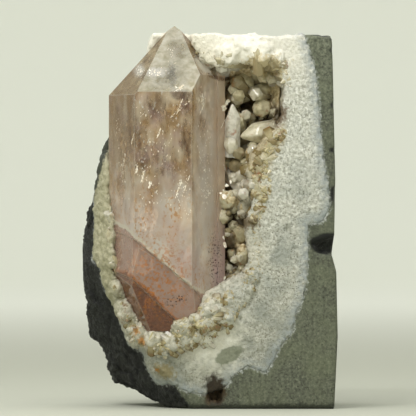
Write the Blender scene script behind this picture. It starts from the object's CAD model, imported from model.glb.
import math
import random

import bmesh
import bpy
from bpy.props import FloatProperty, FloatVectorProperty, IntProperty, PointerProperty
from mathutils import Color, Matrix, Vector, noise
from mathutils.bvhtree import BVHTree


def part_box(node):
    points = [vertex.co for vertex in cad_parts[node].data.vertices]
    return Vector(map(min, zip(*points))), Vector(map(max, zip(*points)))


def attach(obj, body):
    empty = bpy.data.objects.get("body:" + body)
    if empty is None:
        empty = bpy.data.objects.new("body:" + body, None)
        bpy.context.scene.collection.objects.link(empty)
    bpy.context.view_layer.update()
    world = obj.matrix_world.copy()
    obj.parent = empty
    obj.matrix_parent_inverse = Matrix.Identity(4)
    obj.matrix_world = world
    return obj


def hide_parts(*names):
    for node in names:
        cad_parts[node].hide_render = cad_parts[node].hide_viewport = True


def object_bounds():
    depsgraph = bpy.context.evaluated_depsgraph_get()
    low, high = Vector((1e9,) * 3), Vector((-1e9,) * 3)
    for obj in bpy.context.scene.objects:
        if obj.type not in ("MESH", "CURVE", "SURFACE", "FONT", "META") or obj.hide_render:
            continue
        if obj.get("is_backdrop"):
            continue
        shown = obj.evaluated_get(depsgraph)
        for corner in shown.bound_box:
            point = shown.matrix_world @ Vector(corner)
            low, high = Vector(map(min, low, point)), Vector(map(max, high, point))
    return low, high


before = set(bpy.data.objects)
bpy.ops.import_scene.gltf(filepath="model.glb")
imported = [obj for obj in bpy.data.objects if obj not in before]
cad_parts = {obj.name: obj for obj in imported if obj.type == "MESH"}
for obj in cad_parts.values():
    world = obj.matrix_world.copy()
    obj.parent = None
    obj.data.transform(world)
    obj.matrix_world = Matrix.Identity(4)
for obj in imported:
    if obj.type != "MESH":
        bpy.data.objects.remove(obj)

bl_info = {
    "name": "Skeletal amethyst specimen",
    "version": (1, 0, 0),
    "blender": (4, 5, 0),
    "location": "3D View > Sidebar > Specimen",
    "description": "Finishes an amethyst on quartz and basalt: rock, druse, clear crystal and its flaws",
    "category": "Object",
}

MM = 0.001
MERGE = 1e-6
CAD_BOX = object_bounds()

# Frame of the view, in millimetres: the middle of the picture and the width that it spans at the sawn face
VIEW_MIDDLE = (-0.7, 57.6)
VIEW_WIDTH = 119.2
SAWN_FRONT = -17.0
RIGHT_SIDE = 36.0


def shade(red, green, blue):
    """Linear colour of a display colour given from 0 to 255."""
    return tuple((part / 255.0) ** 2.2 for part in (red, green, blue))


def colour_choice(name, description, default):
    return FloatVectorProperty(
        name=name, description=description, default=shade(*default), subtype="COLOR", min=0.0, max=1.0,
    )


def length_choice(name, description, default):
    return FloatProperty(name=name, description=description, default=default * MM, unit="LENGTH", min=0.0)


class SpecimenSizes(bpy.types.PropertyGroup):
    """Sizes of the surface detail."""
    rock_mesh: length_choice("Rock mesh", "Spacing of the basalt's fine mesh", 0.55)
    crust_mesh: length_choice("Crust mesh", "Spacing of the quartz crust's fine mesh", 0.48)
    hollow_mesh: length_choice("Hollow mesh", "Spacing of the fine mesh on the wall of the hollow", 0.42)
    ledge: length_choice("Rock ledges", "Height of the ledges on broken basalt", 1.45)
    grain: length_choice("Crust grain", "Height of the sugary grain of the crust", 0.3)
    edge: length_choice("Crystal edge", "Width of the amethyst's worn edges", 0.16)
    foot_points: IntProperty(name="Foot points", description="Points tried round the foot", default=1100)
    wall_points: IntProperty(name="Wall points", description="Points tried in the hollow", default=900)
    veils: IntProperty(name="Veils", description="Healed cracks inside the amethyst", default=130)


class SpecimenColours(bpy.types.PropertyGroup):
    """Colours of the stones."""
    sawn: colour_choice("Sawn basalt", "Grey green of the sawn faces", (89, 92, 78))
    broken: colour_choice("Broken basalt", "Near black of the broken faces", (14, 16, 12))
    crust: colour_choice("Crust", "Granular white quartz", (208, 207, 192))
    rim: colour_choice("Rim", "Bluish chalcedony next to the basalt", (146, 154, 155))
    cream: colour_choice("Cream", "Cream quartz along the top", (243, 238, 222))
    druse: colour_choice("Druse", "Glassy points round the foot", (238, 226, 180))
    smoky: colour_choice("Smoky points", "Points in the hollow", (230, 220, 182))
    rust: colour_choice("Rust", "Iron stain", (176, 92, 30))


class StageSettings(bpy.types.PropertyGroup):
    """Floor, light and camera."""
    floor: colour_choice("Floor", "Floor round the specimen", (182, 184, 169))
    wall: colour_choice("Wall", "Sweep behind it", (246, 248, 238))
    distance: FloatProperty(name="Camera distance", description="From the sawn face", default=1.35, unit="LENGTH")
    sky: FloatProperty(name="Sky", description="Strength of the even light from all round", default=0.84)
    overhead: FloatProperty(name="Overhead", description="Power of the softbox above", default=1.2)
    key: FloatProperty(name="Key", description="Power of the light above the front", default=0.42)
    spark: FloatProperty(name="Spark", description="Power of the small light for glints", default=0.5)
    fill: FloatProperty(name="Fill", description="Power of the light on the right", default=0.3)


class Finish:
    """One material built from nodes. Its places are millimetres in the specimen's own frame, and a colour that is
    given as a tuple is a display colour from 0 to 255.
    """

    def __init__(self, name):
        self.material = bpy.data.materials.new(name)
        self.material.use_nodes = True
        self.tree = self.material.node_tree
        self.shader = self.tree.nodes["Principled BSDF"]
        self.place = self.mapped(self.add("ShaderNodeTexCoord").outputs["Object"], (1.0 / MM,) * 3)
        self.across, self.depth, self.height = self.add("ShaderNodeSeparateXYZ", {0: self.place}).outputs

    def add(self, kind, inputs=None, **settings):
        """Adds a node with its settings and with what feeds its inputs."""
        made = self.tree.nodes.new(kind)
        for key, value in settings.items():
            setattr(made, key, value)
        for key, value in (inputs or {}).items():
            self.feed(made.inputs[key], value)
        return made

    def feed(self, socket, value):
        """Links another node's output, or sets a plain value."""
        if isinstance(value, bpy.types.NodeSocket):
            self.tree.links.new(value, socket)
        elif socket.type == "RGBA":
            socket.default_value = (*(shade(*value) if isinstance(value, tuple) else value), 1.0)
        else:
            socket.default_value = value

    def mapped(self, source, scale, shift=0.0):
        shifts = (shift, 0.3 * shift, -0.7 * shift)
        return self.add("ShaderNodeMapping", {"Vector": source, "Location": shifts, "Scale": scale}).outputs[0]

    def stretched(self, size, tall, shift):
        return self.mapped(self.place, (1.0 / size, 1.0 / size, 1.0 / (size * tall)), shift)

    def noise(self, size, tall=1.0, detail=3.0, rough=0.55, shift=0.0, warp=0.0):
        """Soft noise of about this size, drawn out upwards by tall."""
        return self.add("ShaderNodeTexNoise", {
            "Vector": self.stretched(size, tall, shift), "Scale": 1.0, "Detail": detail, "Roughness": rough,
            "Distortion": warp,
        }).outputs[0]

    def dots(self, size, inner, outer, shift=0.0):
        """1 in small scattered dots, 0 round them."""
        cells = self.add("ShaderNodeTexVoronoi", {"Vector": self.stretched(size, 1.0, shift), "Scale": 1.0})
        return self.span(cells.outputs["Distance"], inner, outer, 1.0, 0.0)

    def span(self, value, low, high, to_low=0.0, to_high=1.0, smooth=False):
        inputs = dict(enumerate((value, low, high, to_low, to_high)))
        kind = "SMOOTHSTEP" if smooth else "LINEAR"
        return self.add("ShaderNodeMapRange", inputs, interpolation_type=kind).outputs[0]

    def math(self, operation, first, second=0.0):
        return self.add("ShaderNodeMath", {0: first, 1: second}, operation=operation).outputs[0]

    def times(self, first, second):
        return self.math("MULTIPLY", first, second)

    def plus(self, first, second):
        return self.math("ADD", first, second)

    def mix(self, share, first, second):
        return self.add("ShaderNodeMix", {0: share, 6: first, 7: second}, data_type="RGBA").outputs[2]

    def blend(self, value, low, high, first, second):
        """Goes from the first colour to the second while a value goes from low to high."""
        return self.mix(self.span(value, low, high), first, second)

    def layers(self, colour, *rows):
        """Lays paints over a colour in turn: mask, paint, and a share of the mask if not all of it."""
        for mask, paint, *share in rows:
            colour = self.mix(self.times(mask, share[0]) if share else mask, colour, paint)
        return colour

    def attribute(self, name):
        return self.add("ShaderNodeAttribute", attribute_name=name).outputs["Fac"]

    def spot(self, centre, radii, edge, ragged, grain=1.6, turn=0.0):
        """1 inside an egg-shaped region with a ragged outline, 0 outside it."""
        local = self.add("ShaderNodeMapping", {
            "Vector": self.place, "Location": centre, "Rotation": (0.0, math.radians(turn), 0.0), "Scale": radii,
        }, vector_type="TEXTURE").outputs[0]
        far = self.add("ShaderNodeVectorMath", {0: local}, operation="LENGTH").outputs["Value"]
        wobble = self.span(self.noise(grain, shift=centre[0]), 0.0, 1.0, -ragged, ragged)
        return self.span(self.plus(far, wobble), 1.0 + edge, 1.0 - edge, smooth=True)

    def above_line(self, line, wobble):
        """Height above a line of (x, z) places, with a wobble, in millimetres."""
        level = line[0][1]
        for (left, start), (right, end) in zip(line, line[1:]):
            level = self.plus(level, self.span(self.across, left, right, 0.0, end - start))
        return self.math("SUBTRACT", self.plus(self.height, wobble), level)

    def bump(self, height, distance, strength, under=None):
        """A normal raised by height times a distance in millimetres, over the one under it."""
        inputs = {"Height": height, "Distance": distance * MM, "Strength": strength}
        return self.add("ShaderNodeBump", inputs | ({"Normal": under} if under else {})).outputs[0]

    def surface(self, colour, roughness, **values):
        """Feeds the shader. Further values are named as its sockets are, in small letters."""
        for name, value in {"Base Color": colour, "Roughness": roughness, **values}.items():
            self.feed(self.shader.inputs[SOCKETS.get(name, name)], value)
        return self.material


SOCKETS = {"normal": "Normal", "ior": "IOR", "transmission": "Transmission Weight", "metallic": "Metallic"}


# Pieces and meshes
def merged_copy(node):
    """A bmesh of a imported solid, with the corners of its loose triangles merged."""
    bm = bmesh.new()
    bm.from_mesh(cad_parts[node].data)
    bmesh.ops.remove_doubles(bm, verts=bm.verts[:], dist=MERGE)
    return bm


def solid_tree(node):
    """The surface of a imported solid, in which places are looked up."""
    bm = merged_copy(node)
    tree = BVHTree.FromBMesh(bm)
    bm.free()
    return tree


def mesh_of(name, bm):
    """A mesh with what the bmesh holds, which is freed."""
    mesh = bpy.data.meshes.new(name)
    bm.to_mesh(mesh)
    bm.free()
    return mesh


def placed(name, data):
    """A new object in the scene."""
    made = bpy.data.objects.new(name, data)
    bpy.context.scene.collection.objects.link(made)
    return made


def new_piece(name, bm, material, smooth=False):
    for face in bm.faces:
        face.smooth = smooth
    piece = placed(name, mesh_of(name, bm))
    piece.data.materials.append(material)
    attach(piece, "root")
    return piece


def even_mesh(bm, spacing):
    """The same closed solid with an even mesh of small squares."""
    holder = placed("even", mesh_of("even", bm))
    step = holder.modifiers.new("even", "REMESH")
    step.mode = "VOXEL"
    step.voxel_size = spacing
    graph = bpy.context.evaluated_depsgraph_get()
    even = bpy.data.meshes.new_from_object(holder.evaluated_get(graph))
    made = bmesh.new()
    made.from_mesh(even)
    bpy.data.meshes.remove(holder.data)
    bpy.data.meshes.remove(even)
    return made


def wear(bm, edges, width, segments):
    """Rounds edges and returns the new faces."""
    return bmesh.ops.bevel(
        bm, geom=edges, offset=width, offset_type="OFFSET", segments=segments, profile=0.5, affect="EDGES",
        material=-1, clamp_overlap=True,
    )["faces"]


def reshape(bm, relief):
    """Moves each point along its normal by relief(place, normal), both lengths in millimetres."""
    bm.normal_update()
    moves = [(point, point.normal * relief(point.co / MM, point.normal) * MM) for point in bm.verts]
    for point, move in moves:
        point.co += move


def keep_in_box(bm):
    """Brings points that stand out of the solids' box back to it."""
    for point in bm.verts:
        for axis in range(3):
            point.co[axis] = min(max(point.co[axis], CAD_BOX[0][axis]), CAD_BOX[1][axis])


def soft_step(value, low, high):
    share = min(max((value - low) / (high - low), 0.0), 1.0)
    return share * share * (3.0 - 2.0 * share)


def store(bm, name, values):
    """Keeps one number for each point, which the materials read as an attribute."""
    layer = bm.verts.layers.float.new(name)
    for point, value in zip(bm.verts, values):
        point[layer] = value


def settings():
    scene = bpy.context.scene
    return scene.specimen_sizes, scene.specimen_colours


def nearness(bm, nodes, width):
    """For each point, 1 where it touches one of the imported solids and 0 from width away."""
    trees = [solid_tree(node) for node in nodes]
    far = width * MM
    found = []
    for point in bm.verts:
        gaps = (tree.find_nearest(point.co, far)[3] for tree in trees)
        found.append(1.0 - min((gap for gap in gaps if gap is not None), default=far) / far)
    return found


# Basalt
CONTACT_WIDTH = 2.4
FACET_CELL = 5.2
CHIP_CELL = 1.9
# Start of the rock's noise, which Blender would otherwise take from the clock
ROCK_SEED = 1
# How straight a normal has to look outwards to be that of a sawn face
FACING = (0.9, 0.97)
# Nicks in the front right edge: height, half height and depth
NICKS = ((106.6, 1.1, 0.9), (102.8, 0.8, 0.7), (87.1, 0.8, 0.6), (74.2, 0.8, 0.8), (61.6, 2.2, 0.9))
LEAST_NICK = 0.05
# Next to the crust the broken rock is only raised by this much
CONTACT_GAP = 0.8
CONTACT_RISE = 0.2
# Heights between which the broken rock evens out under the top, and those where it moves inwards
TOP_EVENS = (101.0, 105.0)
SIDE_SINKS = (42.0, 60.0)


def sawn_share(place, normal):
    """1 on the sawn faces at the front, right and foot, 0 on broken rock."""
    front = soft_step(-normal.y, *FACING) * soft_step(place.y, SAWN_FRONT + 0.7, SAWN_FRONT + 0.3)
    right = soft_step(normal.x, *FACING) * soft_step(place.x, RIGHT_SIDE - 2.6, RIGHT_SIDE - 2.0)
    foot = soft_step(-normal.z, *FACING) * soft_step(place.z, 0.7, 0.3)
    return max(front, right, foot)


def sawn_place(place):
    """1 close to the sawn faces, whichever way the surface looks there."""
    front = soft_step(place.y, SAWN_FRONT + 1.0, SAWN_FRONT + 0.7)
    right = soft_step(place.x, RIGHT_SIDE - 2.6, RIGHT_SIDE - 2.0)
    return max(front, right, soft_step(place.z, 0.7, 0.4))


def ledges(place, cell):
    """Height of rock broken in small tilted facets, from about -1 to 1."""
    scaled = place / cell
    _, centres = noise.voronoi(scaled)
    tilt = noise.noise_vector(centres[0] * 3.7)
    return 1.6 * (scaled - centres[0]).dot(tilt) + 0.5 * noise.noise(centres[0] * 5.1)


def nick_depth(place):
    """How deep the front right edge is nicked at a place, in millimetres."""
    edge = soft_step(place.x, RIGHT_SIDE - 2.4, RIGHT_SIDE - 0.8)
    edge *= soft_step(place.y, SAWN_FRONT + 2.5, SAWN_FRONT)
    if edge == 0.0:
        return 0.0
    return edge * max(depth * soft_step(abs(place.z - z), 1.3 * tall, 0.3 * tall) for z, tall, depth in NICKS)


def basalt_relief(height, lining):
    def relief(place, normal):
        nick = nick_depth(place)
        if nick > LEAST_NICK:
            return -nick
        gap = lining.find_nearest(place * MM)[3] / MM
        if gap < CONTACT_GAP and normal.y > -0.8:
            return CONTACT_RISE
        rough = (1.0 - sawn_share(place, normal)) * soft_step(gap, 0.7, 2.2)
        rough *= (1.0 - 0.9 * soft_step(place.z, *TOP_EVENS)) * (1.0 - sawn_place(place))
        if rough == 0.0:
            return 0.0
        broken = 0.65 * ledges(place, FACET_CELL) + 0.3 * ledges(place, CHIP_CELL)
        broken += 0.25 * noise.fractal(place * 0.9, 1.0, 2.0, 2)
        return rough * height * (min(broken, 0.7) + 0.25 - 0.85 * soft_step(place.z, *SIDE_SINKS))
    return relief


def basalt_finish(colours):
    finish = Finish("basalt_rock")
    broken = finish.attribute("broken")
    fine = finish.noise(0.8, detail=4.0, rough=0.75)
    coarse = finish.noise(1.2, detail=6.0, rough=0.75, shift=7.0)
    saw_marks = finish.noise(0.9, 40.0, 2.0)
    # Sawn: pale grains, dark specks, saw marks, a darker band at the right, clouds, and more grain above
    sawn = finish.layers(
        finish.blend(fine, 0.3, 0.72, colours.sawn * 0.3, colours.sawn * 1.95),
        (finish.dots(0.8, 0.16, 0.3), (150, 152, 128), 0.3),
        (finish.dots(1.3, 0.1, 0.24, 5.0), (44, 48, 36), 0.75),
        (finish.span(saw_marks, 0.35, 0.65, 0.0, 0.28), colours.sawn * 0.3),
        (finish.spot((30.3, SAWN_FRONT, 84.0), (1.6, 6.0, 34.0), 0.5, 0.6, 4.0), (66, 70, 54), 0.45),
        (finish.span(finish.noise(9.0, detail=2.0, shift=3.0), 0.4, 0.7, 0.0, 0.3), (118, 124, 96)),
        (finish.span(finish.height, 84.0, 104.0, 0.0, 0.6),
         finish.blend(fine, 0.38, 0.62, colours.sawn * 0.6, colours.sawn * 2.4)),
    )
    # Broken: paler on the ledges, with dust
    rock = finish.layers(
        finish.blend(coarse, 0.32, 0.7, colours.broken * 0.3, colours.broken * 2.6),
        (finish.span(finish.attribute("ledge"), -0.1, 0.9, 0.0, 0.6), (36, 39, 32)),
        (finish.dots(1.1, 0.08, 0.2, 9.0), (88, 90, 76), 0.4),
    )
    # Both: frost at the contact, the recess and a dark rim at the foot, the chip at the notch
    frost = finish.plus(finish.attribute("contact"), finish.span(coarse, 0.3, 0.7, -0.4, 0.4))
    foot = finish.plus(finish.height, finish.span(coarse, 0.3, 0.7, -0.9, 0.9))
    colour = finish.layers(
        finish.mix(broken, sawn, rock),
        (finish.span(frost, 0.62, 0.95, 0.0, 0.85), finish.mix(fine, (120, 124, 116), (214, 218, 214))),
        (finish.spot((1.2, SAWN_FRONT, 5.0), (3.0, 6.0, 5.2), 0.35, 0.8, 1.8),
         finish.mix(fine, (26, 20, 12), (92, 74, 48))),
        (finish.span(foot, 1.9, 0.9, 0.0, 0.75), (44, 46, 40)),
        (finish.spot((34.2, SAWN_FRONT, 47.4), (6.0, 9.0, 3.0), 0.15, 0.2, 2.0), (26, 28, 23)),
    )
    normal = finish.bump(finish.plus(finish.times(fine, 0.6), finish.times(saw_marks, 0.5)), 0.12, 0.7)
    normal = finish.bump(finish.times(coarse, broken), 0.8, 0.9, normal)
    roughness = finish.span(broken, 0.0, 1.0, 0.85, finish.span(fine, 0.3, 0.7, 0.42, 0.75))
    return finish.surface(colour, roughness, normal=normal)


class SPECIMEN_OT_basalt(bpy.types.Operator):
    """Make the basalt block with its sawn and broken faces"""
    bl_idname = "specimen.basalt"
    bl_label = "Basalt matrix"

    def execute(self, context):
        sizes, colours = settings()
        noise.seed_set(ROCK_SEED)
        bm = even_mesh(merged_copy("basalt_matrix"), sizes.rock_mesh)
        bm.normal_update()
        places = [point.co / MM for point in bm.verts]
        store(bm, "broken", [max(1.0 - sawn_place(place), min(1.0, 2.0 * nick_depth(place))) for place in places])
        store(bm, "ledge", [ledges(place, FACET_CELL) + 0.5 * ledges(place, CHIP_CELL) for place in places])
        store(bm, "contact", nearness(bm, ["quartz_lining"], CONTACT_WIDTH))
        reshape(bm, basalt_relief(sizes.ledge / MM, solid_tree("quartz_lining")))
        keep_in_box(bm)
        piece = new_piece("basalt_block", bm, basalt_finish(colours), smooth=True)
        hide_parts("basalt_matrix")
        return {"FINISHED"}


# Quartz crust
RIM_WIDTH = 3.4
GLASSY_WIDTH = 8.0
# Small pits in the crust's front: place (x, z), radii (x, z), depth
PITS = (
    ((21.9, 51.3), (0.5, 1.1), 1.0), ((-9.3, 19.8), (0.6, 1.0), 1.2), ((-29.8, 45.6), (0.5, 1.0), 1.2),
    ((17.3, 22.0), (0.4, 0.4), 0.7), ((24.9, 66.0), (0.4, 0.4), 0.6), ((8.8, 25.8), (0.5, 0.4), 0.8),
)
# Line on the left past which the rock shows dark beside the crust (x, z)
LEFT_EDGE = ((-36.2, 53.0), (-33.1, 62.7), (-29.5, 76.0))
# Iron stains: centre, radii and colour
RUST = (184, 122, 24)
OCHRE = (136, 124, 84)
STAINS = (
    ((-19.7, -20.0, 19.3), (1.2, 7.0, 1.6), RUST), ((-26.0, -20.0, 24.9), (1.6, 7.0, 2.6), (140, 90, 40)),
    ((-13.9, -18.0, 10.6), (3.4, 5.0, 2.4), OCHRE), ((-21.5, -20.0, 22.5), (1.2, 7.0, 1.6), RUST),
    ((-15.6, -18.0, 11.0), (0.8, 5.0, 0.7), RUST), ((-24.4, -20.0, 29.8), (1.4, 7.0, 2.6), (126, 98, 62)),
    ((-10.8, -20.0, 26.2), (2.4, 7.0, 1.1), (132, 112, 66)), ((19.8, -14.0, 84.6), (2.2, 9.0, 3.2), (88, 62, 26)),
    ((10.2, -14.0, 53.4), (3.6, 9.0, 1.8), (104, 84, 50)),
    ((15.4, -16.0, 98.2), (6.0, 9.0, 3.2), (196, 178, 132)), ((-24.0, -20.0, 20.2), (1.8, 7.0, 1.6), OCHRE),
)


def pit_depth(place):
    deepest = 0.0
    for (x, z), (wide, high), depth in PITS:
        reach = math.hypot((place.x - x) / wide, (place.z - z) / high)
        deepest = max(deepest, depth * soft_step(reach, 1.5, 0.4))
    return deepest


def crust_relief(height):
    def relief(place, normal):
        front = soft_step(-normal.y, 0.5, 0.9) * soft_step(place.y, SAWN_FRONT + 1.5, SAWN_FRONT + 0.5)
        grain = 0.8 * noise.noise(place / 1.05) + 0.55 * noise.noise(place / 0.62 + Vector((9.0, 0.0, 0.0)))
        lumps = 1.1 * noise.fractal(place / 4.5, 1.0, 2.0, 2) * (1.0 - 0.6 * front)
        ragged = 0.5 + 0.5 * noise.noise(place / 1.3) + 0.3 * noise.noise(place / 3.1)
        return height * (grain + lumps) + ragged * (1.0 - front) + front * (0.1 - pit_depth(place))
    return relief


def stains(finish):
    """Layers of iron stain, for the crust and for the druse on it."""
    return [(finish.spot(centre, radii, 0.35, 1.1, 1.0), stain, 0.8) for centre, radii, stain in STAINS]


def crust_finish(colours):
    finish = Finish("granular_quartz")
    rim, glassy = finish.attribute("rim"), finish.attribute("glassy")
    across, height = finish.across, finish.height
    fine = finish.noise(0.9, detail=4.0, rough=0.75)
    coarse = finish.noise(1.5, rough=0.6, shift=12.0)
    clouds = finish.span(finish.noise(7.0, shift=4.0), 0.42, 0.62, 0.0, 0.7)
    patches = finish.span(finish.noise(5.0, detail=2.0, shift=14.0), 0.4, 0.6, 0.3, 0.95)
    shadows = finish.times(finish.dots(0.75, 0.14, 0.3, 2.0), finish.span(height, 84.0, 50.0, 0.55, 1.0))
    cream = finish.times(finish.span(height, 88.0, 103.0, smooth=True), finish.span(across, 34.0, 8.0, 0.25, 0.9))
    ragged = finish.plus(rim, finish.span(coarse, 0.3, 0.7, -0.35, 0.35))
    bare = finish.plus(finish.above_line(LEFT_EDGE, 0.0), finish.span(coarse, 0.3, 0.7, -1.6, 1.6))
    bare = finish.times(finish.span(bare, -0.8, 0.8), finish.span(across, -29.0, -29.5))
    # White grain with clouds and shadows between the grains, then glassy, cream and bluish quartz, the brown
    # and milky places, the bare rock on the left, the stains, the grey green patch and the recess at the foot
    colour = finish.layers(
        finish.blend(fine, 0.34, 0.64, (112, 110, 92), (246, 246, 236)),
        (finish.span(coarse, 0.35, 0.65, 0.0, 0.5), colours.crust),
        (finish.times(clouds, finish.span(height, 78.0, 46.0, 0.25, 1.0)), (148, 154, 148)),
        (finish.times(patches, shadows), (92, 90, 72)),
        (finish.span(height, 75.0, 0.0, 0.0, 0.6), (122, 122, 104)),
        (finish.times(glassy, finish.span(coarse, 0.4, 0.6)), (246, 243, 232), 0.8),
        (cream, colours.cream),
        (finish.times(rim, finish.span(finish.noise(1.6, shift=6.0), 0.3, 0.55)), colours.rim, 0.9),
        (finish.span(ragged, 0.95, 1.15, 0.0, 0.7), (112, 116, 104)),
        (glassy, finish.mix(finish.noise(2.2, shift=8.0), (206, 194, 150), (150, 132, 88)), 0.4),
        (finish.span(across, -25.0, -29.0, 0.0, 0.75), finish.mix(coarse, (106, 102, 70), (198, 192, 154))),
        (finish.spot((14.4, SAWN_FRONT, 75.0), (4.6, 9.0, 8.4), 0.6, 0.7, 2.2, 24.0),
         finish.mix(coarse, (112, 90, 52), (204, 190, 150)), 0.85),
        (finish.spot((0.4, SAWN_FRONT, 20.6), (8.4, 6.0, 9.4), 0.6, 0.7, 2.0),
         finish.mix(coarse, (214, 210, 186), (255, 253, 242)), 0.75),
        (bare, finish.mix(coarse, (22, 25, 19), (78, 82, 68))),
        *stains(finish),
        (finish.spot((5.3, SAWN_FRONT, 15.5), (4.4, 3.0, 2.2), 0.15, 0.5, 2.2, -28.0),
         finish.mix(coarse, (92, 98, 78), (152, 156, 134)), 0.85),
        (finish.spot((1.2, SAWN_FRONT, 6.0), (3.0, 6.0, 4.0), 0.35, 0.8, 1.8),
         finish.mix(fine, (26, 21, 13), (62, 52, 34))),
    )
    normal = finish.bump(finish.plus(fine, coarse), 0.5, 0.9)
    return finish.surface(colour, finish.span(glassy, 0.0, 1.0, 0.8, 0.4), normal=normal)


class SPECIMEN_OT_crust(bpy.types.Operator):
    """Make the granular quartz crust that lines the pocket"""
    bl_idname = "specimen.crust"
    bl_label = "Quartz crust"

    def execute(self, context):
        sizes, colours = settings()
        bm = even_mesh(merged_copy("quartz_lining"), sizes.crust_mesh)
        store(bm, "rim", nearness(bm, ["basalt_matrix"], RIM_WIDTH))
        store(bm, "glassy", nearness(bm, ["vug_crystals", "amethyst_crystal"], GLASSY_WIDTH))
        reshape(bm, crust_relief(sizes.grain / MM))
        keep_in_box(bm)
        piece = new_piece("quartz_crust", bm, crust_finish(colours), smooth=True)
        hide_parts("quartz_lining")
        return {"FINISHED"}


# Quartz points, made with a radius of 1
POINT_TIP = 1.6
POINT_SHOULDER = 0.75
POINT_FOOT = -0.9
POINT_KINDS = 5


def point_shape(chance, rounding, segments):
    """A stubby six-sided point with uneven shoulders, as a mesh to be repeated."""
    bm = bmesh.new()
    depth = POINT_SHOULDER - POINT_FOOT
    bmesh.ops.create_cone(bm, cap_ends=True, segments=6, radius1=1.0, radius2=0.93, depth=depth)
    bmesh.ops.translate(bm, vec=(0.0, 0.0, 0.5 * (POINT_SHOULDER + POINT_FOOT)), verts=bm.verts[:])
    top = max(bm.faces, key=lambda face: face.calc_center_median().z)
    for turn, corner in enumerate(top.verts):
        corner.co.z += chance.uniform(0.04, 0.16) * (1 if turn % 2 else -1)
    tip = bmesh.ops.poke(bm, faces=[top], offset=POINT_TIP - POINT_SHOULDER)["verts"][0]
    tip.co += Vector((chance.uniform(-0.16, 0.16), chance.uniform(-0.16, 0.16), 0.0))
    edges = [edge for edge in bm.edges if max(corner.co.z for corner in edge.verts) > POINT_FOOT + 0.1]
    wear(bm, edges, rounding, segments)
    return mesh_of("quartz_point", bm)


def point_shapes(seed, rounding, segments):
    chance = random.Random(seed)
    return [point_shape(chance, rounding, segments) for _ in range(POINT_KINDS)]


def crystal_layers(bm):
    return bm.verts.layers.float.new("tint"), bm.verts.layers.float.new("rise")


def new_crystals():
    bm = bmesh.new()
    crystal_layers(bm)
    return bm


def add_copy(bm, shape, matrix, tint, stem=0.0):
    """Adds a copy of a small shape to bm, with its foot lengthened by stem.

    It carries its tint and its height, from 0 at the middle to 1 at the tip, for the material.
    """
    copy = bmesh.new()
    copy.from_mesh(shape)
    tints, rises = crystal_layers(copy)
    for corner in copy.verts:
        corner[tints] = tint
        corner[rises] = min(max(corner.co.z / POINT_TIP, 0.0), 1.0)
        if corner.co.z < 0.5 * POINT_FOOT:
            corner.co.z -= stem
    copy.transform(matrix)
    moved = mesh_of("copy", copy)
    bm.from_mesh(moved)
    bpy.data.meshes.remove(moved)


def plant(bm, shape, root, direction, radius, length, turn, tint, stem=0.0):
    """Adds one quartz point to bm, in millimetres. Its foot is lengthened by stem towards the wall."""
    aim = direction.to_track_quat("Z", "Y").to_matrix().to_4x4()
    size = Matrix.Diagonal((radius * MM, radius * MM, length * MM / POINT_TIP, 1.0))
    place = Matrix.Translation(root * MM) @ aim @ Matrix.Rotation(turn, 4, "Z") @ size
    add_copy(bm, shape, place, tint, stem * POINT_TIP / length)


def druse_finish(name, pale, deep, rust, clear):
    """Glassy quartz: pale tips, darker and browner between the points, a little iron here and there."""
    finish = Finish(name)
    tint = finish.attribute("tint")
    cloud = finish.noise(1.3, shift=2.0)
    colour = finish.layers(
        finish.mix(finish.span(finish.attribute("rise"), 0.0, 0.4, smooth=True), deep, pale),
        (finish.span(tint, 0.0, 1.0, 0.0, 0.8), (250, 247, 236)),
        (finish.span(tint, 0.0, -0.8, 0.0, 0.95), deep),
        (finish.span(cloud, 0.45, 0.7, 0.0, 0.4), deep),
        (finish.span(finish.noise(2.6, detail=4.0, shift=11.0), 0.6, 0.72), rust, 0.6),
        *stains(finish),
    )
    normal = finish.bump(finish.noise(0.35, detail=2.0), 0.05, 0.5)
    roughness = finish.span(cloud, 0.3, 0.7, 0.04, 0.2)
    return finish.surface(colour, roughness, normal=normal, transmission=clear, ior=1.54)


# Druse. Bands crowded with small points: their line (x, z), and how far out from each of its corners they reach
FOOT_LINE = (
    (-26.8, 36.4), (-22.6, 26.0), (-17.2, 20.6), (-13.0, 22.4), (-8.0, 25.6), (-3.0, 28.8),
    (2.0, 31.8), (6.5, 35.6), (10.8, 40.0), (12.6, 46.0), (11.6, 53.4),
)
FOOT_BAND = (1.5, 2.0, 6.0, 8.0, 9.5, 9.5, 8.5, 6.5, 4.5, 3.0, 2.0)
EDGE_LINE = ((12.0, 54.0), (13.4, 59.0), (13.0, 64.0), (11.4, 68.5), (13.6, 72.5), (17.0, 77.2), (20.6, 80.6))
EDGE_BAND = (1.6, 3.0, 4.6, 5.4, 5.0, 3.4, 1.6)
TOP_LINE = ((-4.6, 101.6), (2.0, 99.4), (9.0, 100.8), (16.0, 100.6), (21.4, 98.0), (22.6, 92.0))
TOP_BAND = (-1.2, -1.6, -2.0, -1.6, -0.6, 0.5)
LEFT_LINE = ((-29.0, 68.0), (-29.4, 58.0), (-29.4, 47.0), (-27.0, 38.0))
LEFT_BAND = (-3.0, -4.0, -3.5, -2.0)
HIGHEST_DRUSE = 103.4


def along_band(chance, line, band, count):
    """Random places in the band beside a line: (x, z), how far out as a share, and a share of the size.

    The foot's band thins out on the left, and its points get smaller on the right.
    """
    at_foot = line is FOOT_LINE
    for _ in range(count):
        leg, share = divmod(chance.uniform(0.0, len(line) - 1.001), 1.0)
        if at_foot and leg + share < 2.0 and chance.random() < 0.6:
            continue
        start, end = Vector(line[int(leg)]), Vector(line[int(leg) + 1])
        away = Vector((end.y - start.y, start.x - end.x)).normalized()
        width = band[int(leg)] + (band[int(leg) + 1] - band[int(leg)]) * share
        out = chance.random()
        size = 1.0 - 0.55 * soft_step(leg + share, 6.0, 8.0) if at_foot else 1.0
        yield start.lerp(end, share) + away * width * out, out, size


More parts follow.
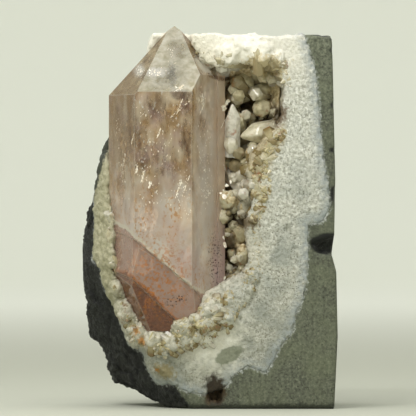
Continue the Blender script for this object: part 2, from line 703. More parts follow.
def seen_from_front(trees, x, z):
    """Foremost place and normal at (x, z), in millimetres."""
    eye = Vector((x, -80.0, z)) * MM
    hits = [tree.ray_cast(eye, Vector((0.0, 1.0, 0.0))) for tree in trees]
    hits = [(place, normal) for place, normal, _, _ in hits if place is not None]
    if not hits:
        return None
    place, normal = min(hits, key=lambda hit: hit[0].y)
    return place / MM, normal


def clear_of(tree, place, least):
    """Whether a place is outside a solid and at least this far from it, in millimetres."""
    nearest, normal, _, gap = tree.find_nearest(place * MM)
    return (place * MM - nearest).dot(normal) > 0.0 and gap > least * MM


class SPECIMEN_OT_druse(bpy.types.Operator):
    """Crowd glassy quartz points round the amethyst's foot and along the rim of the hollow"""
    bl_idname = "specimen.druse"
    bl_label = "Druse on the crust"

    def execute(self, context):
        sizes, colours = settings()
        chance = random.Random(31)
        shapes = point_shapes(5, 0.05, 1)
        crust = bmesh.new()
        crust.from_mesh(bpy.data.objects["quartz_crust"].data)
        crust_tree = BVHTree.FromBMesh(crust)
        crust.free()
        seat = solid_tree("amethyst_crystal")
        # Line, band, how many, least and largest radius, darkest tint, sink as a share of the radius
        bands = (
            (FOOT_LINE, FOOT_BAND, sizes.foot_points, 0.6, 1.9, -0.6, 1.0),
            (EDGE_LINE, EDGE_BAND, 260, 0.6, 2.1, -0.9, 0.5),
            (TOP_LINE, TOP_BAND, 60, 1.2, 2.6, 0.1, 1.0),
            (LEFT_LINE, LEFT_BAND, 40, 1.0, 2.2, 0.0, 1.0),
        )
        bm = new_crystals()
        for line, band, count, least, most, darkest, sink in bands:
            for (x, z), out, size in along_band(chance, line, band, count):
                radius = (least + (most - least) * chance.random() ** 2) * (1.15 - 0.7 * out) * size
                turn, tint = chance.uniform(0.0, 6.28), chance.uniform(darkest, 1.0)
                stretch = chance.uniform(1.2, 3.4)
                lean = Vector((chance.gauss(-0.2, 0.9), -0.7, chance.gauss(0.3, 0.8)))
                found = seen_from_front([crust_tree], x, z)
                if not found or z > HIGHEST_DRUSE:
                    continue
                root, normal = found
                direction = (lean + 0.4 * normal).normalized()
                deep = Vector((0.0, sink * radius * chance.uniform(0.55, 1.1), 0.0))
                root += deep - direction * radius * 0.5 * stretch
                tip = root + direction * radius * stretch
                if tip.y - 0.4 * radius < CAD_BOX[0][1] / MM or not clear_of(seat, tip, 0.4 * radius):
                    continue
                plant(bm, chance.choice(shapes), root, direction, radius, radius * stretch, turn, tint)
        finish = druse_finish("druse_quartz", colours.druse, (150, 130, 84), colours.rust, 0.45)
        new_piece("foot_druse", bm, finish)
        return {"FINISHED"}


# Hollow
# Large points: tip (x, depth, z), radius, lean (x, z), tint
HOLLOW_POINTS = (
    ((9.6, -9.5, 94.5), 3.7, (0.0, 0.1), 0.05), ((15.6, -8.5, 92.5), 2.7, (0.1, 0.2), 0.0),
    ((14.2, -11.5, 86.8), 3.1, (-0.2, 0.1), 0.05), ((18.4, -9.0, 88.6), 2.0, (-0.5, 0.1), 0.1),
    ((12.2, -11.5, 79.4), 3.4, (-0.7, 0.1), 0.1), ((4.8, -8.0, 71.3), 2.6, (-0.3, 0.3), 0.1),
    ((10.4, -12.5, 73.6), 2.0, (-0.6, 0.3), -0.5), ((8.4, -12.0, 67.9), 2.8, (-0.2, 0.3), 0.8),
    ((9.4, -14.0, 63.6), 2.5, (-0.5, -0.2), 0.95), ((8.8, -13.0, 58.6), 2.9, (-0.4, 0.2), 0.8),
    ((3.4, -15.0, 60.6), 3.2, (-0.4, 0.2), 0.2), ((2.4, -14.0, 54.8), 2.7, (-0.3, -0.1), 0.2),
    ((8.4, -13.5, 50.8), 3.0, (-0.1, 0.2), -0.2), ((9.8, -14.0, 46.4), 2.0, (0.1, 1.2), 0.1),
    ((4.4, -9.0, 42.0), 2.4, (0.2, 0.6), 0.0), ((1.6, -6.0, 92.0), 2.6, (0.2, -0.2), 0.0),
    ((3.6, -7.0, 88.4), 2.3, (0.3, 0.2), 0.0), ((10.0, -6.0, 89.6), 2.4, (0.1, -0.2), 0.0),
    ((11.8, -9.0, 98.0), 2.6, (0.0, -0.5), 0.3), ((6.0, -8.5, 97.2), 2.3, (0.1, -0.5), 0.2),
    ((5.6, -5.0, 79.6), 2.5, (0.1, 0.1), 0.0), ((10.8, -6.0, 83.4), 2.2, (-0.2, 0.0), 0.0),
    ((3.2, -5.0, 66.0), 2.5, (0.0, 0.2), 0.0), ((7.4, -10.0, 54.2), 2.2, (-0.3, 0.1), 0.2),
    ((7.0, -12.2, 70.6), 2.3, (-0.1, 0.3), -0.6), ((6.6, -11.4, 66.4), 2.0, (-0.1, 0.0), 0.6),
    ((6.8, -12.6, 61.6), 2.2, (-0.1, 0.2), 0.5), ((6.7, -12.0, 57.4), 1.9, (0.0, -0.1), 0.3),
    ((6.5, -12.4, 52.6), 1.9, (-0.1, 0.1), 0.2), ((6.6, -10.6, 45.6), 2.0, (0.0, 0.4), 0.0),
    ((6.4, -11.0, 92.2), 1.8, (-0.1, 0.2), 0.2), ((12.6, -13.2, 64.8), 1.8, (0.3, 0.3), 0.9),
    ((3.4, -13.6, 97.2), 2.9, (-0.1, -0.3), 1.0), ((7.4, -13.2, 98.0), 2.5, (0.1, -0.4), 0.9),
    ((10.2, -11.4, 84.8), 1.7, (0.0, 0.2), 0.6), ((10.6, -14.4, 60.8), 2.1, (-0.2, 0.1), 0.9),
    ((20.2, -14.2, 94.0), 2.2, (-0.3, 0.0), 0.9), ((9.7, -17.8, 61.9), 1.9, (0.1, 0.1), 0.95),
    ((11.8, -18.0, 64.6), 1.4, (-0.2, 0.3), 0.95), ((3.0, -16.6, 98.6), 2.2, (-0.1, 0.2), 1.0),
)
# Points seen from the side: foot, way, radius, length, tint. The first stands upright and white beside the
# amethyst, the next two are below it, and the last is the long one that lies across the hollow
LYING_POINTS = (
    ((6.3, -10.6, 78.2), (0.02, -0.16, 1.0), 2.5, 10.4, 1.0),
    ((6.0, -10.8, 77.0), (-0.05, -0.55, -0.8), 2.4, 5.0, 0.6),
    ((8.4, -9.6, 73.0), (-0.3, -0.9, 0.3), 2.2, 4.4, -0.4),
    ((18.0, -9.4, 79.9), (-1.0, -0.3, -0.16), 3.6, 10.8, 0.3),
)
HOLLOW_REGION = ((-2.0, 33.0), (23.0, 101.0))
# Dark gaps between the points: place (x, z) and radii
GAPS = (
    ((15.9, 96.6), (2.6, 1.3)), ((9.3, 88.4), (2.4, 1.7)), ((19.3, 83.6), (3.2, 2.9)), ((6.4, 56.0), (1.8, 1.8)),
    ((5.2, 41.6), (2.6, 4.8)), ((15.6, 84.0), (1.6, 1.4)), ((4.6, 93.6), (1.2, 2.6)), ((6.2, 52.7), (1.4, 1.5)),
    ((8.4, 53.4), (2.4, 1.6)), ((7.8, 71.4), (1.6, 2.0)), ((5.0, 47.6), (2.2, 3.2)),
)
# Part of the hollow where its points are whitish and sparkle: (x, z) and radii
BRIGHT_PART = ((9.9, 62.4), (6.4, 8.0))
# Where LYING_POINTS leave no room for small ones: place (x, z) and radii
LYING_PLACES = (((6.5, 81.0), (3.0, 7.0)), ((13.2, 79.4), (6.0, 3.8)))


def within(x, z, region):
    (middle_x, middle_z), (wide, high) = region
    return math.hypot((x - middle_x) / wide, (z - middle_z) / high)


def hollow_relief(place, normal):
    return 0.3 * noise.noise(place / 1.2) + 0.15 * noise.noise(place / 0.7)


def hollow_finish():
    finish = Finish("hollow_wall")
    grain = finish.noise(1.1, detail=4.0, rough=0.65)
    colour = finish.layers(
        finish.blend(grain, 0.32, 0.7, (140, 114, 70), (236, 222, 184)),
        (finish.span(finish.depth, -6.0, 4.0, 0.0, 0.6), (84, 62, 32)),
        *((finish.spot((x, -6.0, z), (1.3 * wide, 16.0, 1.3 * high), 0.5, 0.4), (50, 36, 16), 0.85)
          for (x, z), (wide, high) in GAPS),
    )
    roughness = finish.span(grain, 0.3, 0.7, 0.3, 0.6)
    return finish.surface(colour, roughness, normal=finish.bump(grain, 0.3, 0.8))


class SPECIMEN_OT_hollow(bpy.types.Operator):
    """Line the hollow with its crust and stubby quartz points"""
    bl_idname = "specimen.hollow"
    bl_label = "Points in the hollow"

    def execute(self, context):
        sizes, colours = settings()
        chance = random.Random(47)
        wall = even_mesh(merged_copy("vug_crystals"), sizes.hollow_mesh)
        reshape(wall, hollow_relief)
        wall_tree = BVHTree.FromBMesh(wall)
        trees = [solid_tree(node) for node in ("quartz_lining", "amethyst_crystal")]
        bm = new_crystals()
        rounded = point_shapes(8, 0.13, 2)
        for tip, radius, lean, tint in HOLLOW_POINTS:
            direction = Vector((lean[0], -1.0, lean[1])).normalized()
            length = 1.5 * radius
            root = Vector(tip) - direction * length
            turn = chance.uniform(0.0, 6.28)
            plant(bm, chance.choice(rounded), root, direction, radius, length, turn, tint, 1.6 * radius)
        for root, way, radius, length, tint in LYING_POINTS:
            plant(bm, rounded[1], Vector(root), Vector(way).normalized(), radius, length, 0.3, tint)
        sharp = point_shapes(13, 0.06, 1)
        taken = [((tip[0], tip[2]), (radius, radius)) for tip, radius, _, _ in HOLLOW_POINTS]
        taken.extend(LYING_PLACES)
        (left, low), (right, high) = HOLLOW_REGION
        for _ in range(sizes.wall_points):
            x, z = chance.uniform(left, right), chance.uniform(low, high)
            radius, reach = 0.7 + 1.9 * chance.random() ** 1.5, chance.gauss(-11.4, 1.6)
            turn, tint = chance.uniform(0.0, 6.28), chance.uniform(-0.7, 0.8)
            lean = Vector((chance.gauss(-0.1, 0.45), -1.0, chance.gauss(0.05, 0.45))).normalized()
            found = seen_from_front([wall_tree], x, z)
            front = seen_from_front(trees, x, z)
            hidden = not found or (front and front[0].y < found[0].y)
            if hidden or any(within(x, z, spot) < 1.0 for spot in taken):
                continue
            bright = within(x, z, BRIGHT_PART) < 1.0
            if bright:
                reach -= 1.8
            root = found[0] - 0.4 * lean
            wanted = (reach - root.y) / lean.y
            radius = min(max(radius, 0.17 * wanted), 2.8)
            length = radius * chance.uniform(1.2, 1.9)
            reach = min(max(wanted, length), 6.0 * radius)
            if min(within(x, z, spot) for spot in GAPS) < 1.0:
                radius, length, reach = 0.6 * radius, 0.8 * length, length
            root += lean * (reach - length)
            if bright:
                radius, tint = 0.7 * radius, 0.5 + 0.5 * abs(tint)
            tip = root + lean * length
            if tip.y > CAD_BOX[0][1] / MM + 1.0 and clear_of(trees[1], tip, 0.5 * radius):
                plant(bm, chance.choice(sharp), root, lean, radius, length, turn, tint, reach - length)
        piece = new_piece("hollow_wall", wall, hollow_finish(), smooth=True)
        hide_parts("vug_crystals")
        finish = druse_finish("smoky_points", colours.smoky, (122, 102, 62), colours.rust, 0.35)
        new_piece("hollow_points", bm, finish)
        return {"FINISHED"}


# Amethyst
TIP_FROM = 88.0
STONE_TINT = Color((0.62, 0.45, 0.38))
STONE_DENSITY = 12.0
# Brown smoky patches: middle (x, z), half height and half width
SMOKE = (
    ((-22.6, 79.6), 5.4, 1.8), ((-7.8, 77.4), 3.4, 0.8), ((-15.6, 86.4), 2.6, 3.0), ((-19.4, 70.6), 3.0, 1.8),
    ((-6.4, 86.6), 3.0, 1.6), ((-12.2, 68.4), 2.2, 2.6), ((-26.6, 84.0), 3.0, 1.0), ((-6.6, 75.6), 6.0, 1.0),
    ((-20.2, 76.4), 6.0, 1.4), ((-13.9, 71.0), 4.0, 2.4), ((-24.2, 60.6), 3.4, 1.3),
)
# Growth steps at the lower left, from left to right (x, z): the upper one and the lower one
UPPER_STEP = ((-29.5, 54.2), (-24.0, 51.9), (-20.2, 48.7), (-13.9, 43.0), (-8.5, 38.0), (-3.3, 33.8))
LOWER_STEP = ((-29.5, 39.7), (-24.0, 39.5), (-17.7, 34.1), (-12.3, 28.7), (-8.0, 24.6))


def amethyst_finish():
    finish = Finish("clear_amethyst")
    across, height = finish.across, finish.height
    wobble = finish.span(finish.noise(2.5, detail=2.0, shift=21.0), 0.3, 0.7, -0.5, 0.5)
    upper, lower = (finish.above_line(line, wobble) for line in (UPPER_STEP, LOWER_STEP))
    streaks = finish.noise(3.4, 2.0, rough=0.5, warp=0.3)
    broad = finish.noise(8.0, 1.8, 2.0, shift=5.0, warp=0.3)
    mottle = finish.span(finish.noise(2.4, detail=4.0, shift=3.0, warp=0.2), 0.36, 0.64)
    brown = finish.span(broad, 0.4, 0.62, 0.0, 0.5)
    threads = finish.span(finish.noise(0.9, 4.0, rough=0.6, shift=61.0), 0.36, 0.6, 0.25, 0.9)
    glints = finish.times(finish.span(finish.noise(5.5, detail=1.0, shift=35.0), 0.46, 0.6),
                          finish.span(finish.noise(0.55, 1.9, 2.0, shift=33.0), 0.62, 0.68))
    # The prism: brown clouds and columns, the smoky patches, violet places, glints and dark threads
    body = finish.layers(
        finish.blend(streaks, 0.38, 0.62, (190, 156, 110), (255, 241, 212)),
        (brown, (178, 140, 88)),
        (finish.span(finish.noise(2.4, 14.0, 2.0, shift=27.0), 0.42, 0.66, 0.0, 0.45), (160, 124, 82)),
        *((finish.times(finish.spot((x, -20.0, z), (wide, 14.0, tall), 0.8, 0.9, 2.0), threads), (102, 66, 28))
          for (x, z), tall, wide in SMOKE),
        (finish.span(finish.noise(5.0, detail=2.0, shift=9.0), 0.5, 0.66, 0.0, 0.25), (204, 174, 190)),
        (glints, (255, 252, 242)),
        (finish.times(brown, finish.span(finish.noise(0.8, 2.4, 2.0, shift=41.0), 0.62, 0.7)), (88, 58, 32)),
    )
    # The front face of the tip: dark flaws at the middle, top and foot, and white grains on the left
    tip = finish.layers(
        finish.mix(mottle, (188, 180, 142), (246, 241, 216)),
        (finish.spot((-11.0, -15.0, 95.0), (1.5, 14.0, 3.4), 0.5, 0.8, 0.8), (66, 68, 56), 0.75),
        (finish.spot((-9.6, -15.0, 103.0), (2.4, 14.0, 2.6), 0.8, 0.9, 0.9), (132, 118, 84), 0.5),
        (finish.spot((-12.6, -15.0, 94.4), (4.6, 14.0, 3.8), 0.8, 0.9, 0.9), (120, 114, 84), 0.45),
        (finish.spot((-16.0, -15.0, 96.4), (3.4, 14.0, 1.5), 0.5, 0.8, 0.7), (250, 248, 238), 0.8),
    )
    # Its other faces, one with a frosty place
    slope = finish.layers(
        finish.mix(mottle, (126, 96, 56), (210, 188, 146)),
        (finish.spot((-20.6, -12.0, 97.0), (1.8, 12.0, 1.9), 0.5, 0.6, 0.9, -30.0), (246, 242, 230), 0.9),
    )
    # The milky stone below, with columns of orange specks
    specks = finish.times(finish.span(finish.noise(0.75, 1.6, shift=17.0), 0.54, 0.61),
                          finish.span(finish.noise(2.6, 8.0, 1.0, shift=51.0), 0.42, 0.58))
    milk = finish.layers(
        finish.blend(streaks, 0.34, 0.66, (246, 222, 192), (255, 248, 232)),
        (finish.span(broad, 0.4, 0.7, 0.0, 0.5), (226, 194, 196)),
        (specks, (222, 152, 62), 0.7),
    )
    wavy = finish.plus(height, finish.span(broad, 0.3, 0.7, -7.0, 7.0))
    plum = finish.blend(height, 36.0, 62.0, (246, 196, 216), (246, 214, 176))
    left = finish.times(finish.span(across, -20.4, -21.8, 0.0, 0.5), finish.span(height, 62.0, 74.0))
    beam = finish.times(finish.spot((-1.9, -14.0, 66.0), (3.0, 14.0, 30.0), 0.5, 0.5, 3.0),
                        finish.span(streaks, 0.35, 0.65, 0.6, 1.0))
    rust = finish.times(finish.spot((-15.0, -22.0, 37.0), (9.5, 9.0, 10.0), 0.8, 0.3, 6.0),
                        finish.span(finish.noise(0.9, detail=4.0, rough=0.65, shift=15.0), 0.52, 0.58))
    mauve = finish.mix(finish.noise(2.0, shift=2.0), (190, 154, 134), (222, 190, 176))
    red = finish.mix(finish.noise(1.6, shift=6.0), (108, 62, 38), (160, 108, 82))
    dots = finish.dots(0.75, 0.26, 0.34, 4.0)
    right_pits = finish.times(finish.spot((1.2, -14.0, 42.0), (1.8, 9.0, 8.0), 0.5, 0.4, 2.0), dots)
    step_pits = finish.times(finish.spot((-9.6, -20.0, 31.4), (3.4, 9.0, 1.6), 0.5, 0.4, 1.4, -20.0), dots)
    colour = finish.layers(
        finish.mix(finish.span(wavy, 54.0, 72.0, smooth=True), milk, body),
        (finish.attribute("side_tip"), slope),
        (finish.attribute("front_tip"), tip),
        # The side crystal on the right, the brown left face and the pale beam along the right edge
        (finish.span(across, -0.5, 1.5, 0.0, 0.85), finish.mix(streaks, plum, (255, 242, 226))),
        (left, (146, 110, 64)),
        (beam, (255, 245, 232)),
        # Marks under the tip: a dusky place, a pale crescent, a rusty line and a dark shadow
        (finish.spot((-2.6, -14.0, 81.0), (1.7, 14.0, 3.4), 0.6, 0.6, 1.6), (150, 112, 70), 0.5),
        (finish.spot((-1.4, -10.0, 98.6), (4.8, 12.0, 2.3), 0.3, 0.3, 2.0, 42.0), (252, 246, 226)),
        (finish.spot((1.4, -10.0, 95.2), (3.0, 12.0, 0.7), 0.5, 0.5, 1.0, 16.0), (124, 84, 48), 0.75),
        (finish.spot((-8.6, -20.0, 89.9), (3.6, 9.0, 1.6), 0.4, 0.5, 1.4), (84, 52, 44), 0.7),
        # The mauve and the red growth step, with their pale crests
        (finish.span(upper, 0.3, -0.3), mauve),
        (finish.span(lower, 0.3, -0.3), red),
        (finish.span(finish.math("ABSOLUTE", upper), 0.35, 0.8, 1.0, 0.0), (255, 246, 224)),
        (finish.span(finish.math("ABSOLUTE", lower), 0.2, 0.7, 1.0, 0.0), (222, 140, 84), 0.6),
        (rust, (222, 132, 36), 0.8),
        # Dark pits low on the right and on the step, and the worn edges
        (right_pits, (64, 34, 44)),
        (step_pits, (74, 40, 34)),
        (finish.attribute("edge"), (250, 244, 228), 0.6),
    )
    absorb = finish.add("ShaderNodeVolumeAbsorption", {"Color": STONE_TINT, "Density": STONE_DENSITY})
    finish.feed(finish.tree.nodes["Material Output"].inputs["Volume"], absorb.outputs[0])
    normal = finish.bump(finish.noise(0.9, 9.0, 2.0, shift=1.0), 0.03, 0.6)
    roughness = finish.span(finish.noise(2.0), 0.4, 0.7, 0.03, 0.14)
    return finish.surface(colour, roughness, normal=normal, transmission=0.62, ior=1.544)


class SPECIMEN_OT_amethyst(bpy.types.Operator):
    """Give the amethyst its worn edges and its clear stone"""
    bl_idname = "specimen.amethyst"
    bl_label = "Amethyst"

    def execute(self, context):
        sizes, _ = settings()
        bm = merged_copy("amethyst_crystal")
        bmesh.ops.dissolve_limit(bm, angle_limit=math.radians(0.6), verts=bm.verts[:], edges=bm.edges[:])
        names = ("front_tip", "side_tip", "edge")
        front_tip, side_tip, edge_share = (bm.faces.layers.float.new(name) for name in names)
        sharp = [edge for edge in bm.edges if edge.is_manifold and edge.calc_face_angle() > math.radians(4.0)]
        worn = wear(bm, sharp, sizes.edge, 2)
        bm.normal_update()
        for face in bm.faces:
            sloping = face.normal.z > 0.35 and face.calc_center_median().z > TIP_FROM * MM
            face[front_tip] = float(sloping and abs(face.normal.x) < 0.3 and face.normal.y < 0.0)
            face[side_tip] = float(sloping and not face[front_tip])
        for face in worn:
            face[edge_share] = 1.0
        piece = new_piece("amethyst", bm, amethyst_finish())
        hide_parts("amethyst_crystal")
        return {"FINISHED"}


# Flaws inside the amethyst
FLECK_KINDS = 6
STREWN_PER_FLASH = 30
STREWN_PER_WISP = 60
RUSTY_FLECKS = 700


def fleck_shape(seed):
    """A small angular fleck of radius 1, as a mesh to be repeated."""
    bm = bmesh.new()
    bmesh.ops.create_icosphere(bm, subdivisions=1, radius=1.0)
    chance = random.Random(seed)
    for corner in bm.verts:
        corner.co *= chance.uniform(0.7, 1.25)
    return mesh_of("fleck", bm)


def scatter(bm, shape, place, size, turn=Matrix.Identity(4)):
    """Adds one small fleck, its place and three sizes in millimetres."""
    size = Matrix.Diagonal((*(part * MM for part in size), 1.0))
    add_copy(bm, shape, Matrix.Translation(place * MM) @ turn @ size, 0.0)


def inside(tree, place, least):
    """Whether a place is inside a solid and at least this far from its surface, in millimetres."""
    nearest, normal, _, gap = tree.find_nearest(place * MM)
    return (place * MM - nearest).dot(normal) < 0.0 and gap > least * MM


def flaw_finish(name, dark, pale, metallic=0.0):
    finish = Finish(name)
    grain = finish.noise(1.0)
    colour = finish.blend(grain, 0.35, 0.65, dark, pale)
    return finish.surface(colour, finish.span(grain, 0.3, 0.7, 0.15, 0.4), metallic=metallic)


# Bright lines where cracks reach the front: ends (x, z) and width
FLASHES = (
    ((-11.3, 83.4), (-5.9, 88.2), 0.5), ((-9.6, 84.4), (-8.0, 88.6), 0.25), ((-9.9, 90.9), (-7.7, 92.6), 0.6),
    ((-25.6, 66.0), (-24.4, 73.0), 0.4), ((-21.2, 67.6), (-20.8, 69.4), 0.5), ((-19.6, 65.2), (-18.8, 68.6), 0.5),
    ((-17.6, 63.4), (-17.0, 65.0), 0.6), ((-9.8, 61.0), (-8.4, 65.0), 0.4), ((-7.4, 62.6), (-6.0, 66.8), 0.4),
    ((-22.6, 75.8), (-21.8, 79.0), 0.25), ((-15.4, 77.2), (-14.2, 80.2), 0.25), ((-3.2, 84.0), (-1.8, 87.4), 0.3),
)
# Clusters of glints on the front: middle (x, z), radii and how many
GLITTER = (
    ((-25.1, 69.0), (1.1, 5.2), 40), ((-21.1, 68.5), (1.0, 2.0), 16), ((-19.2, 66.8), (0.9, 2.2), 22),
    ((-17.3, 64.2), (1.0, 1.2), 14), ((-7.9, 63.6), (2.4, 4.2), 46), ((-2.4, 88.5), (0.7, 1.5), 30),
    ((-7.3, 56.6), (3.0, 3.0), 10), ((-17.3, 85.7), (4.0, 3.0), 14), ((-13.0, 74.2), (6.5, 7.0), 46),
    ((-1.6, 74.2), (1.8, 8.0), 50), ((-26.4, 79.9), (1.2, 6.0), 22), ((-20.2, 97.1), (1.4, 1.6), 40),
    ((-15.9, 96.6), (3.0, 1.2), 40), ((-9.0, 91.9), (1.0, 0.6), 16), ((-11.6, 102.0), (1.6, 4.0), 12),
    ((-15.0, 60.0), (8.0, 3.0), 24), ((-0.8, 62.0), (2.0, 6.0), 60), ((-2.4, 89.4), (0.9, 2.2), 34),
)
GLINT_SINK = 0.03
# Brown wisps: (x, z), half height, half width and depth
WISPS = (
    ((-24.2, 80.4), 3.6, 0.5, 1.6), ((-22.4, 77.8), 4.6, 0.6, 2.2), ((-20.8, 81.0), 3.4, 0.5, 1.8),
    ((-7.9, 76.6), 3.0, 0.5, 1.2), ((-16.6, 84.6), 3.4, 0.6, 2.4), ((-12.8, 80.4), 3.8, 0.5, 2.2),
    ((-18.2, 72.4), 3.2, 0.6, 2.0), ((-6.2, 69.4), 3.4, 0.4, 1.4), ((-13.6, 88.0), 2.2, 1.0, 2.0),
    ((-7.2, 89.4), 1.2, 1.4, 1.4), ((-24.8, 72.2), 3.0, 0.4, 1.2), ((-9.6, 72.8), 1.6, 0.5, 1.2),
)


def healed_cracks(chance, tree, shapes, count):
    """Curved veils of flat flecks, each a healed crack."""
    bm = new_crystals()
    low, high = (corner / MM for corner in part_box("amethyst_crystal"))
    for _ in range(count):
        centre = Vector(chance.uniform(a, b) for a, b in zip(low, high))
        centre.y = chance.uniform(low.y + 2.0, low.y + 16.0)
        normal = Vector((chance.gauss(0, 0.8), chance.gauss(0, 0.8), chance.gauss(0, 0.35))).normalized()
        wide, tall = chance.uniform(1.0, 4.0), chance.uniform(2.0, 7.0)
        bend = chance.uniform(-0.08, 0.08)
        side = normal.cross(Vector((0.0, 0.0, 1.0))).normalized()
        up = side.cross(normal)
        turn = normal.to_track_quat("Z", "Y").to_matrix().to_4x4()
        for _ in range(chance.randint(30, 80)):
            across, along = chance.gauss(0.0, 0.5) * wide, chance.gauss(0.0, 0.5) * tall
            place = centre + side * across + up * along + normal * bend * (across ** 2 + along ** 2)
            size = chance.uniform(0.12, 0.75)
            if inside(tree, place, 0.5):
                scatter(bm, chance.choice(shapes), place, (size, size * chance.uniform(0.8, 2.0), 0.04), turn)
    return bm


def crack_flashes(chance, tree, shapes):
    """Glints just under the front, along the flashes and in the clusters."""
    bm = new_crystals()
    spots = []
    for start, end, width in FLASHES:
        way = Vector(end) - Vector(start)
        for _ in range(STREWN_PER_FLASH):
            middle = Vector(start) + way * chance.random()
            spots.append((middle.x + chance.gauss(0, 0.3) * width, middle.y + chance.gauss(0, 0.3) * width, way))
    for (x, z), (wide, high), count in GLITTER:
        for _ in range(count):
            way = Vector((chance.gauss(0, 0.5), 1.0))
            spots.append((x + chance.gauss(0, 0.5) * wide, z + chance.gauss(0, 0.5) * high, way))
    for x, z, way in spots:
        found = seen_from_front([tree], x, z)
        if found:
            place, normal = found
            along = Vector((way.x, 0.0, way.y)).normalized()
            along = (along - normal * along.dot(normal)).normalized()
            turn = Matrix((along.cross(normal), along, normal)).transposed().to_4x4()
            size = (chance.uniform(0.04, 0.13), chance.uniform(0.12, 0.55), 0.06)
            scatter(bm, chance.choice(shapes), place - normal * GLINT_SINK, size, turn)
    return bm


def brown_wisps(chance, tree, shapes):
    """Upright wisps of thin brown flecks behind the front faces."""
    bm = new_crystals()
    for (x, z), tall, wide, depth in WISPS:
        for _ in range(STREWN_PER_WISP):
            across, along = chance.gauss(0.0, 0.5), chance.gauss(0.0, 0.5)
            front = seen_from_front([tree], x + across * wide, z + along * tall)[0]
            place = front + Vector((0.0, depth + chance.uniform(-0.4, 0.4), 0.0))
            size = (chance.uniform(0.1, 0.32), 0.08, chance.uniform(0.4, 1.1))
            if inside(tree, place, 0.35):
                scatter(bm, chance.choice(shapes), place, size)
    return bm


def rusty_flecks(chance, tree, shapes):
    """A cloud of small flecks in the growth steps."""
    bm = new_crystals()
    for _ in range(RUSTY_FLECKS):
        place = Vector((chance.gauss(-13.0, 6.5), chance.gauss(-21.0, 2.5), chance.gauss(36.0, 7.0)))
        size = chance.uniform(0.08, 0.28)
        if inside(tree, place, 0.35):
            scatter(bm, chance.choice(shapes), place, (size, size, 0.5 * size))
    return bm


class SPECIMEN_OT_flaws(bpy.types.Operator):
    """Scatter the veils of healed cracks, flashes, brown wisps and rusty flecks inside the amethyst"""
    bl_idname = "specimen.flaws"
    bl_label = "Flaws in the amethyst"

    def execute(self, context):
        sizes, _ = settings()
        chance = random.Random(71)
        common = chance, solid_tree("amethyst_crystal"), [fleck_shape(seed) for seed in range(FLECK_KINDS)]
        cracks = healed_cracks(*common, sizes.veils)
        flashes, wisps, flecks = crack_flashes(*common), brown_wisps(*common), rusty_flecks(*common)
        for name, bm, material in (
            ("healed_cracks", cracks, flaw_finish("crack_glitter", (226, 210, 186), (255, 252, 242), 0.15)),
            ("rusty_flecks", flecks, flaw_finish("iron_flecks", (150, 70, 24), (214, 124, 50))),
            ("crack_flashes", flashes, flaw_finish("crack_flash", (204, 188, 162), (250, 244, 230))),
            ("brown_wisps", wisps, flaw_finish("brown_inclusion", (70, 48, 24), (128, 96, 56))),
        ):
            new_piece(name, bm, material)
        return {"FINISHED"}


# Stage, in metres
FLOOR_RADIUS = 2.3
SWEEP_RADIUS = 0.7
SWEEP_STEPS = 12
WALL_HEIGHT = 1.9
# Lights: where they are, what they are aimed at, their size, and the setting that holds their power
LIGHTS = {
    "overhead": ((-0.05, -0.12, 0.62), (0.0, 0.0, 0.06), (0.7, 0.4)),
    "key": ((-0.1, -0.22, 0.29), (0.0, 0.0, 0.07), (0.16, 0.12)),
    "spark": ((-0.24, -0.42, 0.5), (0.0, 0.0, 0.07), (0.04, 0.04)),
    "fill": ((0.6, -0.5, 0.2), (0.0, 0.0, 0.05), (0.4, 0.4)),
}


def stage_floor(floor_colour, wall_colour):
    """A round floor that sweeps up into a wall, turned about the middle."""
    bm = bmesh.new()
    line = [Vector((0.02, 0.0, 0.0)), Vector((FLOOR_RADIUS, 0.0, 0.0))]
    for step in range(1, SWEEP_STEPS + 1):
        angle = 0.5 * math.pi * step / SWEEP_STEPS
        out, up = SWEEP_RADIUS * math.sin(angle), SWEEP_RADIUS * (1.0 - math.cos(angle))
        line.append(Vector((FLOOR_RADIUS + out, 0.0, up)))
    line.append(Vector((FLOOR_RADIUS + SWEEP_RADIUS, 0.0, WALL_HEIGHT)))
    corners = [bm.verts.new(place) for place in line]
    edges = [bm.edges.new(pair) for pair in zip(corners, corners[1:])]
    bmesh.ops.spin(
        bm, geom=[*corners, *edges], cent=(0.0, 0.0, 0.0), axis=(0.0, 0.0, 1.0), angle=math.tau,
        steps=96, use_merge=True,
    )
    bmesh.ops.remove_doubles(bm, verts=bm.verts[:], dist=1e-5)
    rim = [edge for edge in bm.edges if edge.is_boundary and edge.verts[0].co.length < 0.1]
    bmesh.ops.holes_fill(bm, edges=rim, sides=0)
    bmesh.ops.recalc_face_normals(bm, faces=bm.faces[:])
    for face in bm.faces:
        face.smooth = True
    floor = placed("floor", mesh_of("floor", bm))
    finish = Finish("pale_floor")
    near = finish.spot((0.0, 0.0, 0.0), (900.0, 900.0, 900.0), 0.75, 0.0)
    floor.data.materials.append(finish.surface(finish.mix(near, wall_colour, floor_colour), 0.9))
    floor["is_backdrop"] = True


def soft_light(name, place, aim, size, power):
    light = bpy.data.lights.new(name, "AREA")
    light.shape = "RECTANGLE"
    light.size, light.size_y = size
    light.energy = power
    holder = placed(name, light)
    holder.location = place
    holder.rotation_euler = (Vector(aim) - Vector(place)).to_track_quat("-Z", "Y").to_euler()


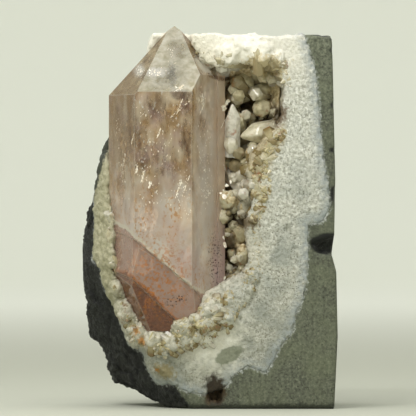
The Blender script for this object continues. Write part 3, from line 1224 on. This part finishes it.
class SPECIMEN_OT_stage(bpy.types.Operator):
    """Set the pale floor, the soft lights and the camera"""
    bl_idname = "specimen.stage"
    bl_label = "Stage"

    def execute(self, context):
        scene = context.scene
        stage = scene.specimen_stage
        stage_floor(stage.floor, stage.wall)
        scene.world = bpy.data.worlds.new("studio")
        scene.world.use_nodes = True
        background = scene.world.node_tree.nodes["Background"]
        background.inputs["Color"].default_value = (1.0, 1.0, 0.97, 1.0)
        background.inputs["Strength"].default_value = stage.sky
        for name, values in LIGHTS.items():
            soft_light(name, *values, getattr(stage, name))
        lens = bpy.data.cameras.new("camera")
        lens.lens = lens.sensor_width * stage.distance / (VIEW_WIDTH * MM)
        lens.clip_end = 20.0
        camera = placed("camera", lens)
        camera.location = (VIEW_MIDDLE[0] * MM, SAWN_FRONT * MM - stage.distance, VIEW_MIDDLE[1] * MM)
        camera.rotation_euler = (math.radians(90.0), 0.0, 0.0)
        scene.camera = camera
        scene.view_settings.view_transform = "Standard"
        scene.cycles.use_denoising = True
        scene.cycles.max_bounces = 14
        scene.cycles.transmission_bounces = 12
        scene.cycles.diffuse_bounces = 4
        return {"FINISHED"}


class SPECIMEN_PT_panel(bpy.types.Panel):
    """Lists the steps that finish the specimen"""
    bl_idname = "SPECIMEN_PT_panel"
    bl_label = "Amethyst specimen"
    bl_space_type = "VIEW_3D"
    bl_region_type = "UI"
    bl_category = "Specimen"

    def draw(self, context):
        for step in STEPS:
            self.layout.operator(step.bl_idname)
        for group in ("specimen_sizes", "specimen_colours", "specimen_stage"):
            values = getattr(context.scene, group)
            for name in values.bl_rna.properties.keys():
                if name not in {"rna_type", "name"}:
                    self.layout.prop(values, name)


GROUPS = {"specimen_sizes": SpecimenSizes, "specimen_colours": SpecimenColours, "specimen_stage": StageSettings}
STEPS = (SPECIMEN_OT_basalt, SPECIMEN_OT_crust, SPECIMEN_OT_druse, SPECIMEN_OT_hollow, SPECIMEN_OT_amethyst,
         SPECIMEN_OT_flaws, SPECIMEN_OT_stage)


def register():
    for item in (*GROUPS.values(), *STEPS, SPECIMEN_PT_panel):
        bpy.utils.register_class(item)
    for name, group in GROUPS.items():
        setattr(bpy.types.Scene, name, PointerProperty(type=group))


def unregister():
    for name in GROUPS:
        delattr(bpy.types.Scene, name)
    for item in reversed((*GROUPS.values(), *STEPS, SPECIMEN_PT_panel)):
        bpy.utils.unregister_class(item)


def main():
    register()
    bpy.ops.specimen.stage()
    bpy.ops.specimen.basalt()
    bpy.ops.specimen.crust()
    bpy.ops.specimen.druse()
    bpy.ops.specimen.hollow()
    bpy.ops.specimen.amethyst()
    bpy.ops.specimen.flaws()
    sizes = {"cad": CAD_BOX, "visual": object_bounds()}
    {name: [list(corner) for corner in box] for name, box in sizes.items()}


if __name__ == "__main__":
    main()
